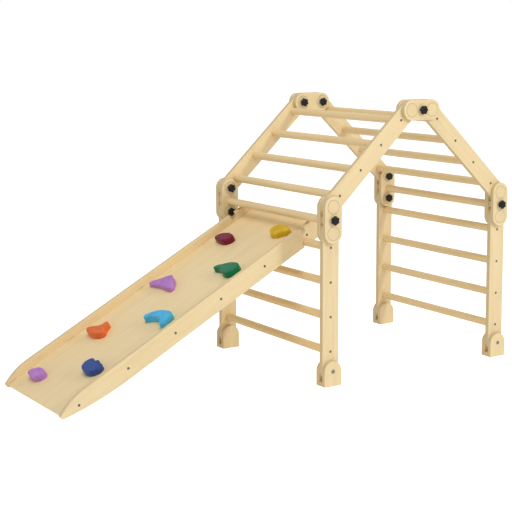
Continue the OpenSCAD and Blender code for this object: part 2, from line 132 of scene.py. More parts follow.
def stadium(length, width, n=28):
    """Bar with round ends, from the origin up to length."""
    r = width / 2
    return arc(0, length, r, 0, 180, n) + arc(0, 0, r, 180, 360, n)


def counter_clockwise(points):
    """The loop, turned round if it runs clockwise."""
    twice = sum(p[0] * q[1] - q[0] * p[1] for p, q in zip(points, points[1:] + points[:1]))
    return points if twice > 0 else points[::-1]


def tidy_loop(points, least=1e-5):
    """The loop without neighbouring points that coincide."""
    kept = []
    for p in points:
        if not kept or math.dist(p, kept[-1]) > least:
            kept.append(p)
    if math.dist(kept[0], kept[-1]) <= least:
        kept.pop()
    return kept


def inset(points, d):
    """The counter-clockwise loop moved inwards by d."""
    out = []
    for i, p in enumerate(points):
        before, after = Vector(points[i - 1]), Vector(points[(i + 1) % len(points)])
        here = Vector(p)
        e1, e2 = (here - before).normalized(), (after - here).normalized()
        n1, n2 = Vector((-e1.y, e1.x)), Vector((-e2.y, e2.x))
        out.append(tuple(here + (n1 + n2) * d / (1 + n1.dot(n2))))
    return out


# ---------------------------------------------------------------- mesh building


def add_ring(bm, points, y):
    """Vertices of one loop at the depth y."""
    return [bm.verts.new((x, y, z)) for x, z in points]


def bridge(bm, a, b):
    """Quads between two loops of the same length."""
    for i in range(len(a)):
        j = (i + 1) % len(a)
        bm.faces.new((a[i], a[j], b[j], b[i]))


def fill(bm, loops):
    """Flat face between an outer loop and the holes in it."""
    verts = [v for loop in loops for v in loop]
    for tri in tessellate_polygon([[v.co for v in loop] for loop in loops]):
        if len({verts[i] for i in tri}) == 3:
            bm.faces.new([verts[i] for i in tri])


def add_slab(bm, outline, y_back, y_face, holes=(), edge=0.002, steps=4, rim=0.0006):
    """Board whose outline is rounded over at both faces.

    holes: (x, z, radius, depth) from y_face, with depth None for a hole right through.
    """
    outline = counter_clockwise(tidy_loop(outline))
    out = 1 if y_face > y_back else -1
    rings = []
    for y, way, order in ((y_back, -out, range(steps, -1, -1)), (y_face, out, range(steps + 1))):
        for k in order:
            a = math.pi / 2 * k / steps
            loop = inset(outline, edge * (1 - math.cos(a)))
            rings.append(add_ring(bm, loop, y - way * edge * (1 - math.sin(a))))
    for a, b in zip(rings, rings[1:]):
        bridge(bm, a, b)
    face_loops, back_loops = [rings[-1]], [rings[0]]
    for x, z, r, depth in holes:
        n = 48 if r > 0.01 else 24
        wide, tight = arc(x, z, r + rim, 0, 360, n)[:-1], arc(x, z, r, 0, 360, n)[:-1]
        mouth, lip = add_ring(bm, wide, y_face), add_ring(bm, tight, y_face - out * rim)
        bridge(bm, mouth, lip)
        face_loops.append(mouth)
        if depth is None:
            low, low_mouth = add_ring(bm, tight, y_back + out * rim), add_ring(bm, wide, y_back)
            bridge(bm, lip, low)
            bridge(bm, low, low_mouth)
            back_loops.append(low_mouth)
        else:
            floor = add_ring(bm, tight, y_face - out * depth)
            bridge(bm, lip, floor)
            bm.faces.new(floor)
    fill(bm, face_loops)
    fill(bm, back_loops)


def add_lathe(bm, profile, at=(0, 0), n=48, shape=None):
    """Turned part about a line along Y through at=(x, z).

    profile: (y, radius) pairs or (y, radius, weight); weight scales what shape(angle) adds.
    """
    rings = []
    for y, r, *weight in profile:
        points = []
        for i in range(n):
            t = 2 * math.pi * i / n
            extra = shape(t, r) * weight[0] if shape and weight else 0
            points.append((at[0] + (r + extra) * math.cos(t), at[1] + (r + extra) * math.sin(t)))
        rings.append(add_ring(bm, points, y))
    for a, b in zip(rings, rings[1:]):
        bridge(bm, a, b)
    bm.faces.new(rings[0])
    bm.faces.new(rings[-1])


def hexagon(t, r):
    """Added to a circle of radius r to make it a hexagon with that corner radius."""
    within = (t + math.pi / 6) % (math.pi / 3) - math.pi / 6
    return r * (math.cos(math.pi / 6) / math.cos(within) - 1)


def ring_out(y, r, edge, way, steps=3):
    """Profile points of a rounded rim that ends in a flat face at y, with the part on the -way side."""
    turn = [math.pi / 2 * k / steps for k in range(steps + 1)]
    return [(y - way * edge * (1 - math.sin(a)), r - edge * (1 - math.cos(a))) for a in turn]


# ---------------------------------------------------------------- placing


def standing(lower, upper):
    """Frame with its origin at lower, Z towards upper and Y kept level."""
    z = (upper - lower).normalized()
    y = Vector((0, 1, 0))
    x = y.cross(z)
    return Matrix(
        ((x.x, y.x, z.x, lower.x), (x.y, y.y, z.y, lower.y), (x.z, y.z, z.z, lower.z), (0, 0, 0, 1))
    )


def piece(name, bm, place, body, material, nodes, smooth_below=40):
    """Turns a bmesh into a finished piece that rides on a body and stands for CAD nodes."""
    bmesh.ops.recalc_face_normals(bm, faces=bm.faces)
    mesh = bpy.data.meshes.new(name)
    bm.to_mesh(mesh)
    bm.free()
    obj = bpy.data.objects.new(name, mesh)
    bpy.context.scene.collection.objects.link(obj)
    mesh.materials.append(material)
    for polygon in mesh.polygons:
        polygon.use_smooth = True
    mesh.set_sharp_from_angle(angle=math.radians(smooth_below))
    normals = obj.modifiers.new("face_normals", "WEIGHTED_NORMAL")
    normals.keep_sharp = True
    obj.matrix_world = place
    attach(obj, body)
    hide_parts(*nodes)
    return obj


# ---------------------------------------------------------------- materials


class Nodes:
    """Short way to build a material's node tree."""

    def __init__(self, name):
        self.material = bpy.data.materials.new(name)
        self.material.use_nodes = True
        self.tree = self.material.node_tree
        self.shader = self.tree.nodes["Principled BSDF"]
        self.coords = self.tree.nodes.new("ShaderNodeTexCoord")

    def link(self, value, socket):
        if hasattr(value, "is_linked"):
            self.tree.links.new(value, socket)
        elif value is not None:
            socket.default_value = value

    def math(self, op, a, b=None, clamp=False):
        node = self.tree.nodes.new("ShaderNodeMath")
        node.operation, node.use_clamp = op, clamp
        self.link(a, node.inputs[0])
        self.link(b, node.inputs[1])
        return node.outputs[0]

    def scaled(self, vector, scale, shift=None):
        node = self.tree.nodes.new("ShaderNodeVectorMath")
        node.operation = "MULTIPLY"
        self.link(vector, node.inputs[0])
        node.inputs[1].default_value = scale
        if shift is None:
            return node.outputs[0]
        add = self.tree.nodes.new("ShaderNodeVectorMath")
        add.operation = "ADD"
        self.tree.links.new(node.outputs[0], add.inputs[0])
        self.link(shift, add.inputs[1])
        return add.outputs[0]

    def noise(self, vector, scale, detail=2.0, rough=0.5, distortion=0.0):
        node = self.tree.nodes.new("ShaderNodeTexNoise")
        self.link(vector, node.inputs["Vector"])
        node.inputs["Scale"].default_value = scale
        node.inputs["Detail"].default_value = detail
        node.inputs["Roughness"].default_value = rough
        node.inputs["Distortion"].default_value = distortion
        return node.outputs["Fac"]

    def ramp(self, value, stops):
        node = self.tree.nodes.new("ShaderNodeValToRGB")
        self.link(value, node.inputs[0])
        band = node.color_ramp
        while len(band.elements) < len(stops):
            band.elements.new(0.5)
        for element, (at, shade) in zip(band.elements, stops):
            element.position = at
            element.color = shade if len(shade) == 4 else (*shade, 1)
        return node.outputs[0]

    def level(self, value, low, high):
        """0 below low and 1 above high."""
        return self.ramp(value, [(low, (0, 0, 0)), (high, (1, 1, 1))])

    def mix(self, factor, a, b):
        node = self.tree.nodes.new("ShaderNodeMix")
        node.data_type = "RGBA"
        self.link(factor, node.inputs[0])
        for value, socket in ((a, node.inputs[6]), (b, node.inputs[7])):
            self.link((*value, 1) if isinstance(value, tuple) and len(value) == 3 else value, socket)
        return node.outputs[2]

    def split(self, vector):
        node = self.tree.nodes.new("ShaderNodeSeparateXYZ")
        self.link(vector, node.inputs[0])
        return node.outputs

    def per_piece(self):
        """A number that differs for each separate solid, as a shift for textures."""
        island = self.tree.nodes.new("ShaderNodeNewGeometry").outputs["Random Per Island"]
        thing = self.tree.nodes.new("ShaderNodeObjectInfo").outputs["Random"]
        return self.math("ADD", self.math("MULTIPLY", island, 7.0), self.math("MULTIPLY", thing, 31.0))

    def edges(self, radius):
        """1 near a convex or concave edge, 0 on open faces."""
        bevel = self.tree.nodes.new("ShaderNodeBevel")
        bevel.samples = 4
        bevel.inputs["Radius"].default_value = radius
        geometry = self.tree.nodes.new("ShaderNodeNewGeometry")
        dot = self.tree.nodes.new("ShaderNodeVectorMath")
        dot.operation = "DOT_PRODUCT"
        self.tree.links.new(bevel.outputs[0], dot.inputs[0])
        self.tree.links.new(geometry.outputs["Normal"], dot.inputs[1])
        return self.math("MULTIPLY", self.math("SUBTRACT", 1.0, dot.outputs["Value"]), 6.0, clamp=True)

    def bump(self, height, strength, distance, under=None):
        node = self.tree.nodes.new("ShaderNodeBump")
        node.inputs["Strength"].default_value = strength
        node.inputs["Distance"].default_value = distance
        self.link(height, node.inputs["Height"])
        self.link(under, node.inputs["Normal"])
        return node.outputs[0]

    def finish(self, color, roughness, normal=None, **values):
        self.link(color, self.shader.inputs["Base Color"])
        self.link(roughness, self.shader.inputs["Roughness"])
        self.link(normal, self.shader.inputs["Normal"])
        for key, value in values.items():
            self.link(value, self.shader.inputs[key.replace("_", " ")])
        return self.material


def wood(name, light, dark, along, layers=0.0, figure=1.0, rough=0.46):
    """Clear-coated pale wood with its grain along one axis; layers is the strength of plywood edges."""
    n = Nodes(name)
    shift = n.per_piece()
    point = n.coords.outputs["Object"]
    across = [1.0 if a == along else 14.0 for a in range(3)]
    broad = n.noise(n.scaled(point, [3.2 * a for a in across], shift), 1.0, 3.0, 0.55, 0.6)
    fibre = n.noise(n.scaled(point, [a * 42 if a > 1 else 16 for a in across], shift), 1.0, 4.0, 0.7)
    fleck = n.noise(n.scaled(point, [a * 55 if a > 1 else 75 for a in across], shift), 1.0, 1.0, 0.5)
    cloud = n.noise(n.scaled(point, (6, 6, 6), shift), 1.0, 2.0)
    color = n.mix(n.math("MULTIPLY", n.level(broad, 0.34, 0.68), 0.62 * figure), light, dark)
    streak = tuple(c * 0.80 for c in dark)
    color = n.mix(n.math("MULTIPLY", n.level(fibre, 0.46, 0.74), 0.42 * figure), color, streak)
    flecks = n.math("MULTIPLY", n.level(fleck, 0.69, 0.74), 0.34 * figure)
    color = n.mix(flecks, color, tuple(c * 0.55 for c in dark))
    warm = tuple(min(1.0, c * k) for c, k in zip(light, (1.03, 0.97, 0.88)))
    color = n.mix(n.math("MULTIPLY", n.level(cloud, 0.38, 0.72), 0.34), color, warm)
    edge_shade_and_highlight = n.edges(0.0022)
    height = fibre
    if layers:
        normal_y = n.math("ABSOLUTE", n.split(n.coords.outputs["Normal"])[1])
        rim = n.level(normal_y, 0.55, 0.80)
        y = n.split(point)[1]
        wobble = n.math("MULTIPLY", n.noise(n.scaled(point, (9, 9, 9), shift), 1.0), 0.0006)
        band = n.math("FRACT", n.math("DIVIDE", n.math("ADD", y, wobble), 0.0026))
        grains = n.noise(n.scaled(point, (900, 900, 60), shift), 1.0, 2.0)
        ply = n.ramp(band, [
            (0.0, tuple(c * 0.36 for c in dark)), (0.12, tuple(c * 0.50 for c in dark)),
            (0.20, tuple(c * 0.80 for c in light)), (0.48, tuple(c * 0.84 for c in light)),
            (0.55, tuple(c * 0.66 for c in dark)), (0.95, tuple(c * 0.70 for c in dark)),
        ])
        ply = n.mix(n.math("MULTIPLY", n.level(grains, 0.5, 0.8), 0.35), ply, streak)
        color = n.mix(n.math("MULTIPLY", n.math("SUBTRACT", 1.0, rim), layers), color, ply)
        height = n.math("ADD", fibre, n.math("MULTIPLY", n.math("SUBTRACT", 1.0, rim), band))
    # Painted shade: the wood is darker along its edges and in its corners.
    color = n.mix(n.math("MULTIPLY", edge_shade_and_highlight, 0.45), color, tuple(c * 0.62 for c in dark))
    gloss = n.math("ADD", n.math("MULTIPLY", fibre, 0.16), rough - 0.06)
    gloss = n.math("ADD", gloss, n.math("MULTIPLY", edge_shade_and_highlight, 0.08))
    return n.finish(color, gloss, n.bump(height, 0.22, 0.0004), Coat_Weight=0.10, Coat_Roughness=0.35)


def plastic(name, base, rough=0.30, coat=0.25, grain=0.12, shade=0.72, sheen=0.5):
    """Moulded resin: fine pebbling, faint swirls in the colour and a painted highlight along the edges."""
    n = Nodes(name)
    point = n.scaled(n.coords.outputs["Object"], (1, 1, 1), n.per_piece())
    swirl = n.noise(point, 38.0, 3.0, 0.6, 0.8)
    pebble = n.noise(point, 900.0, 2.0, 0.6)
    speck = n.noise(point, 2300.0, 1.0)
    deep = tuple(c * shade for c in base)
    pale = tuple(min(1.0, c * 1.10 + 0.012) for c in base)
    color = n.mix(n.level(swirl, 0.30, 0.72), deep, base)
    color = n.mix(n.math("MULTIPLY", n.level(speck, 0.62, 0.70), 0.22), color, pale)
    edge_shade_and_highlight = n.edges(0.0016)
    # Painted highlight: paler along the edges.
    color = n.mix(n.math("MULTIPLY", edge_shade_and_highlight, 0.45), color, pale)
    gloss = n.math("ADD", n.math("MULTIPLY", swirl, 0.14), rough - 0.07)
    gloss = n.math("ADD", gloss, n.math("MULTIPLY", edge_shade_and_highlight, 0.12))
    lumps = n.bump(swirl, 0.40, 0.0016)
    normal = n.bump(pebble, grain, 0.0003, lumps)
    return n.finish(color, gloss, normal, Coat_Weight=coat, Coat_Roughness=0.18, Specular_IOR_Level=sheen)


def metal(name, base, rough=0.30):
    """Zinc-plated steel with turning marks and dull patches."""
    n = Nodes(name)
    point = n.coords.outputs["Object"]
    patch = n.noise(n.scaled(point, (1, 1, 1), n.per_piece()), 260.0, 3.0, 0.6)
    marks = n.noise(point, 2600.0, 2.0, 0.7)
    color = n.mix(n.level(patch, 0.35, 0.70), tuple(c * 0.82 for c in base), base)
    edge_shade_and_highlight = n.edges(0.0005)
    # Painted glint: lighter along the edges.
    color = n.mix(n.math("MULTIPLY", edge_shade_and_highlight, 0.6), color, tuple(min(1.0, c * 1.3) for c in base))
    gloss = n.math("ADD", n.math("MULTIPLY", patch, 0.22), rough - 0.08)
    return n.finish(color, gloss, n.bump(marks, 0.15, 0.0001), Metallic=1.0)


BIRCH_LIGHT, BIRCH_DARK = (0.885, 0.705, 0.405), (0.790, 0.590, 0.305)
BEECH_LIGHT, BEECH_DARK = (0.835, 0.635, 0.335), (0.735, 0.525, 0.245)
DECK_LIGHT, DECK_DARK = (0.900, 0.705, 0.395), (0.800, 0.595, 0.300)

ply_up = wood("birch_ply_rail", BIRCH_LIGHT, BIRCH_DARK, along=2, layers=0.80)
ply_along = wood("birch_ply_board", BIRCH_LIGHT, BIRCH_DARK, along=0, layers=0.45)
hub_wood = wood("birch_ply_hub", tuple(c * 0.97 for c in BIRCH_LIGHT), BIRCH_DARK, along=0, layers=0.80)
rung_wood = wood("beech_rung", BEECH_LIGHT, BEECH_DARK, along=1, rough=0.42)
deck_wood = wood("deck_ply", DECK_LIGHT, DECK_DARK, along=0, figure=0.8)
black = plastic("knob_plastic", (0.009, 0.008, 0.008), rough=0.46, coat=0.0, grain=0.30, shade=0.6, sheen=0.3)
zinc = metal("zinc_plate", (0.60, 0.61, 0.62))
bolt_steel = metal("bolt_steel", (0.36, 0.355, 0.35), rough=0.36)
dull_zinc = metal("dull_zinc_screw", (0.24, 0.23, 0.22), rough=0.42)

# ---------------------------------------------------------------- ladders


def rungs_bm(first, count=RUNGS, reach=RAIL_IN + 0.001):
    """Round rungs, eased a little at both ends."""
    bm = bmesh.new()
    for i in range(count):
        left = ring_out(-reach, RUNG_R, 0.0012, -1)[::-1]
        right = ring_out(reach, RUNG_R, 0.0012, 1)
        middle = [(-reach + 2 * reach * k / 12, RUNG_R) for k in range(1, 12)]
        add_lathe(bm, left + middle + right, at=(0, first + i * RUNG_PITCH), n=48)
    return bm


def screws_bm(places, y_face, out):
    """Flush round heads with a hex socket."""
    bm = bmesh.new()
    for x, z in places:
        rim = ring_out(y_face, SCREW_HEAD_R, 0.0005, out)
        socket = [
            (y_face - out * 0.00015, 0.0024, 1), (y_face - out * 0.0003, 0.0022, 1),
            (y_face - out * 0.0020, 0.0022, 1), (y_face - out * 0.0021, 0.0006, 0),
        ]
        flat = [(y, r, 0) for y, r in [(y_face - out * 0.006, SCREW_HEAD_R)] + rim]
        add_lathe(bm, flat + socket, at=(x, z), n=36, shape=hexagon)
    return bm


def hub_bm(heights):
    """Discs that show in the plates: outer and inner, front and back."""
    bm = bmesh.new()
    r = HUB_R - HUB_GAP
    for z in heights:
        for side in (-1, 1):
            for low, high in ((RAIL_OUT, PLATE_OUT), (RAIL_IN, INNER_IN)):
                way = 1 if high > low else -1
                rim = [(side * y, rim_r) for y, rim_r in ring_out(high, r, 0.0009, way)]
                add_lathe(bm, [(side * low, r)] + rim, at=(0, z), n=56)
    return bm


def lobes(t, _radius):
    """Six equal lobes, the first one pointing up."""
    return math.cos(6 * (t - math.pi / 2))


# Side of a knob from the wood outwards: height, radius and depth of its lobes.
KNOB_PROFILE = [
    (0.0004, 0.0084, 0), (0.0, 0.0088, 0), (0.0004, 0.0090, 0),
    (0.0044, 0.0090, 0), (0.0048, 0.0094, 0),
    (0.0050, 0.0112, 0.0006), (0.0053, 0.0134, 0.0012), (0.0062, 0.0144, 0.0015),
    (0.0090, 0.0148, 0.0016), (0.0125, 0.0146, 0.0015),
    (0.0143, 0.0136, 0.0013), (0.0154, 0.0116, 0.0009), (0.0160, 0.0088, 0.0004),
    (0.0160, 0.0066, 0), (0.0154, 0.0060, 0), (0.0153, 0.0020, 0),
]


def add_knob(bm, at, y0, way, stud):
    """Six-lobed clamping knob on a collar, and its threaded stud running back through the wood."""
    profile = [(y0 + way * y, r, depth) for y, r, depth in KNOB_PROFILE]
    add_lathe(bm, profile, at=at, n=96, shape=lobes)
    end = y0 - way * stud
    shank = [(y0 + way * 0.0005, STUD_R), (end + way * 0.001, STUD_R), (end, STUD_R - 0.0008)]
    add_lathe(bm, shank, at=at, n=24)


def knobs_bm(y_clamped, way, stud, z=0.0):
    """The pair of knobs on one axis, mirrored front and back."""
    bm = bmesh.new()
    for side in (-1, 1):
        add_knob(bm, (0, z), side * y_clamped, side * way, stud)
    return bm


def ladder(body, lower, upper, first, hub_ends):
    """One ladder: rails, rungs, screws and hub discs, drawn standing on its lower pivot."""
    place = standing(lower, upper)
    length = (upper - lower).length
    heights = [first + i * RUNG_PITCH for i in range(RUNGS)]
    for end, side in (("front", -1), ("back", 1)):
        bm = bmesh.new()
        holes = [(0, z, SCREW_HOLE_R, SCREW_HOLE_DEPTH) for z in heights]
        add_slab(bm, stadium(length, RAIL_W), side * RAIL_IN, side * RAIL_OUT, holes, edge=0.0024)
        node = f"{body}_rail_{end}"
        piece(f"{node}_wood", bm, place, body, ply_up, [node])
    piece(f"{body}_rungs_wood", rungs_bm(first), place, body, rung_wood, [f"{body}_rungs"])
    bm = screws_bm([(0, z) for z in heights], -RAIL_OUT + SCREW_SUNK, -1)
    join(bm, screws_bm([(0, z) for z in heights], RAIL_OUT - SCREW_SUNK, 1))
    piece(f"{body}_screws_zinc", bm, place, body, dull_zinc, [f"{body}_screws"])
    bm = hub_bm([length * end for end in hub_ends])
    piece(f"{body}_hubs_wood", bm, place, body, hub_wood, [f"{body}_hubs"])
    return place, length


def join(bm, other):
    """Adds the second bmesh to the first."""
    spare = bpy.data.meshes.new("spare")
    other.to_mesh(spare)
    other.free()
    bm.from_mesh(spare)
    bpy.data.meshes.remove(spare)


PIVOT_STUD = PLATE_T + PIVOT_GAP + RAIL_T + 0.010


def pivot_knobs(node, place, z):
    """The pair of knobs that clamps one pivot from the inside."""
    bm = knobs_bm(INNER_IN, -1, PIVOT_STUD, z)
    piece(f"{node}_plastic", bm, place, node, black, [node])


for side in ("left", "right"):
    foot_pin = joint_at[f"foot_{side}_front_swivel"]
    eave_low = joint_at[f"leg_{side}_hinge"]
    eave_high = joint_at[f"eave_{side}_hinge"]
    ridge = joint_at[f"roof_{side}_hinge"]

    place, length = ladder(f"leg_{side}", foot_pin, eave_low, FOOT_TO_RUNG, [1])
    pivot_knobs(f"leg_{side}_knobs", place, length)
    place, length = ladder(f"roof_{side}", eave_high, ridge, HINGE_TO_RUNG, [0, 1])
    pivot_knobs(f"roof_{side}_lower_knobs", place, 0)
    pivot_knobs(f"roof_{side}_upper_knobs", place, length)

# ---------------------------------------------------------------- links


def plates_bm(y_rail, y_show):
    """A pair of link plates, front and back, each with an opening for both hubs."""
    bm = bmesh.new()
    for side in (-1, 1):
        holes = [(0, z, HUB_R, None) for z in (0, LINK_PITCH)]
        outline = stadium(LINK_PITCH, PLATE_W, 40)
        add_slab(bm, outline, side * y_rail, side * y_show, holes, edge=0.0022, rim=0.0009)
    return bm


def spacers_bm(half_w=0.028, half_l=0.010):
    """Blocks that hold the two plates of a link apart, front and back."""
    bm = bmesh.new()
    low, high = LINK_PITCH / 2 - half_l, LINK_PITCH / 2 + half_l
    outline = [(-half_w, low), (half_w, low), (half_w, high), (-half_w, high)]
    for side in (-1, 1):
        add_slab(bm, outline, side * INNER_OUT, side * PLATE_IN, edge=0.0006, steps=2)
    return bm


def link(prefix, body, place, middle_stud):
    """The plates and spacers of a link, and the knobs at its middle."""
    for layer, y_rail, y_show in (("outer", PLATE_IN, PLATE_OUT), ("inner", INNER_OUT, INNER_IN)):
        bm = plates_bm(y_rail, y_show)
        piece(f"{prefix}_{layer}_wood", bm, place, body, ply_up, [f"{prefix}_{layer}_plates"])
    piece(f"{prefix}_spacers_wood", spacers_bm(), place, body, ply_up, [f"{prefix}_spacers"])
    bm = knobs_bm(PLATE_OUT, 1, middle_stud, LINK_PITCH / 2)
    node = f"{prefix}_middle_knobs"
    piece(f"{node}_plastic", bm, place, node, black, [node])


place = standing(joint_at["roof_left_hinge"], joint_at["roof_right_hinge"])
link("ridge", "ridge_link", place, RIDGE_MIDDLE_STUD)
for side in ("left", "right"):
    prefix = f"eave_{side}"
    place = standing(joint_at[f"leg_{side}_hinge"], joint_at[f"eave_{side}_hinge"])
    link(prefix, f"{prefix}_link", place, EAVE_MIDDLE_STUD)
    bm = rungs_bm(LINK_PITCH / 2 - CROSS_DROP, 1, INNER_IN + 0.0005)
    node = f"{prefix}_cross_rung"
    piece(f"{node}_wood", bm, place, f"{prefix}_link", rung_wood, [node])

# ---------------------------------------------------------------- feet


def foot_bm(side):
    """Block of three boards: two arched cheeks and a sole between them, standing on the floor."""
    bm = bmesh.new()
    middle = side * RAIL_MIDDLE
    low, high, r = -FOOT_PIN_Z, FOOT_SLOT_FLOOR, FOOT_CORNER_R
    outline = arc(FOOT_R - r, low + r, r, -90, 0, 4) + arc(0, 0, FOOT_R, 0, 180, 36)
    outline += arc(r - FOOT_R, low + r, r, 180, 270, 4)
    for way in (1, -1):
        holes = [(0, 0, FOOT_BOLT_R + 0.0003, 0.004)] if way == side else []
        add_slab(bm, outline, middle + way * FOOT_SLOT_HALF, middle + way * FOOT_HALF, holes, edge=0.0022)
    x = FOOT_R - 0.0003
    sole = [(r - x, low), (x - r, low), (x, low + r), (x, high), (-x, high), (-x, low + r)]
    add_slab(bm, sole, middle - FOOT_SLOT_HALF, middle + FOOT_SLOT_HALF, edge=0.0005, steps=2)
    return bm


def foot_bolts_bm():
    """Pivot bolts: a head with a hex socket on the outer cheek, and the shank into the inner one."""
    bm = bmesh.new()
    for side in (-1, 1):
        middle = side * RAIL_MIDDLE
        y = middle + side * (FOOT_HALF - 0.0002)
        profile = [(y - side * 0.0035, FOOT_BOLT_R, 0)]
        profile += [(v, r, 0) for v, r in ring_out(y, FOOT_BOLT_R, 0.0008, side)]
        profile += [
            (y + side * 0.0001, 0.0036, 1), (y - side * 0.0002, 0.0033, 1),
            (y - side * 0.0026, 0.0033, 1), (y - side * 0.0028, 0.0008, 0),
        ]
        add_lathe(bm, profile, n=48, shape=hexagon)
        ends = (middle - FOOT_BOLT_REACH, middle + FOOT_BOLT_REACH)
        add_lathe(bm, [(v, FOOT_BOLT_SHANK_R) for v in ends], n=32)
    return bm


for side in ("left", "right"):
    place = Matrix.Translation(joint_at[f"foot_{side}_front_swivel"])
    for end, way in (("front", -1), ("back", 1)):
        node = f"foot_{side}_{end}"
        piece(f"{node}_wood", foot_bm(way), place, node, ply_up, [node])
    node = f"leg_{side}_foot_bolts"
    piece(f"{node}_zinc", foot_bolts_bm(), place, f"leg_{side}", bolt_steel, [node])

# ---------------------------------------------------------------- ramp
# Ramp frame: origin at the hooked rung, -X down the slope, Z out of the deck.


def ramp_outline():
    """Side outline of a board as (x, z), with a notch for the rung in both edges."""
    top = BOARD_LOW + BOARD_H
    low_a = math.asin((NOSE_LOW_RUN - BOARD_TIP_R) / NOSE_LOW_R)
    top_a = math.asin((NOSE_TOP_RUN - BOARD_TIP_R) / NOSE_TOP_R)
    z_low = BOARD_LOW + NOSE_LOW_R * (1 - math.cos(low_a))
    z_top = top - NOSE_TOP_R * (1 - math.cos(top_a))
    low_a, top_a = math.degrees(low_a), math.degrees(top_a)
    tip_x, tip_z, tip_r = RAMP_DOWN - BOARD_TIP_R, (z_low + z_top) / 2, (z_top - z_low) / 2
    end, r = RAMP_CORNER_R - RAMP_UP, RAMP_CORNER_R
    points = [(HOOK_R, top)] + arc(0, 2 * BOARD_MID, HOOK_R, 360, 180, 20) + [(-HOOK_R, top)]
    points += arc(end, top - r, r, 90, 180, 6)
    points += arc(end, BOARD_LOW + r, r, 180, 270, 6)
    points += [(-HOOK_R, BOARD_LOW)] + arc(0, 0, HOOK_R, 180, 0, 20) + [(HOOK_R, BOARD_LOW)]
    points += arc(RAMP_DOWN - NOSE_LOW_RUN, BOARD_LOW + NOSE_LOW_R, NOSE_LOW_R, -90, low_a - 90, 14)
    points += arc(tip_x, tip_z, tip_r, low_a - 90, 90 - top_a, 14)
    points += arc(RAMP_DOWN - NOSE_TOP_RUN, top - NOSE_TOP_R, NOSE_TOP_R, 90 - top_a, 90, 14)
    return [(-x, z) for x, z in points]


hook = joint_at["ramp_tilt"]
ramp_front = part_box("ramp_board_front")[0].y
ramp_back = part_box("ramp_board_back")[1].y
ramp_half = (ramp_back - ramp_front) / 2
hook_middle = Vector((hook.x, (ramp_front + ramp_back) / 2, hook.z))
ramp_place = Matrix.Translation(hook_middle) @ Matrix.Rotation(-RAMP_SLOPE, 4, "Y")
screw_places = [(RAMP_SCREW_FIRST - i * RAMP_SCREW_PITCH, BOARD_MID) for i in range(RAMP_SCREWS)]

for end, way in (("front", -1), ("back", 1)):
    bm = bmesh.new()
    holes = [(x, z, SCREW_HOLE_R, SCREW_HOLE_DEPTH) for x, z in screw_places]
    add_slab(bm, ramp_outline(), way * (ramp_half - BOARD_T), way * ramp_half, holes, edge=0.0022)
    node = f"ramp_board_{end}"
    piece(f"{node}_wood", bm, ramp_place, "ramp", ply_along, [node])

bm = bmesh.new()
deck_half = ramp_half - BOARD_T
low, high = DECK_SHORT_LOW - RAMP_DOWN, RAMP_UP - DECK_SHORT_HIGH
bottom, top = BOARD_MID - DECK_T / 2, BOARD_MID + DECK_T / 2
outline = [(low, bottom), (high, bottom), (high, top), (low, top)]
add_slab(bm, outline, -deck_half, deck_half, edge=0.0007, steps=2)
piece("ramp_deck_wood", bm, ramp_place, "ramp", deck_wood, ["ramp_deck"])

bm = screws_bm(screw_places, -ramp_half + SCREW_SUNK, -1)
join(bm, screws_bm(screw_places, ramp_half - SCREW_SUNK, 1))
piece("ramp_screws_zinc", bm, ramp_place, "ramp", dull_zinc, ["ramp_screws"])

for name in ("hold_bolts", "hold_washers"):
    node = frame["nodes"][name]
    node.data.materials.clear()
    node.data.materials.append(zinc)

# ---------------------------------------------------------------- climbing holds

HOLD_COLORS = {
    "lilac": (0.540, 0.235, 0.650),
    "navy": (0.045, 0.088, 0.330),
    "orange": (0.900, 0.175, 0.034),
    "sky": (0.080, 0.515, 0.830),
    "green": (0.006, 0.205, 0.085),
    "maroon": (0.215, 0.012, 0.036),
    "yellow": (0.760, 0.480, 0.020),
}
GLOSSY = ("green", "maroon")
hold_materials = {
    slot: plastic(f"resin_{slot}", base, rough=0.15 if slot in GLOSSY else 0.36, coat=0.0, sheen=0.16)
    for slot, base in HOLD_COLORS.items()
}

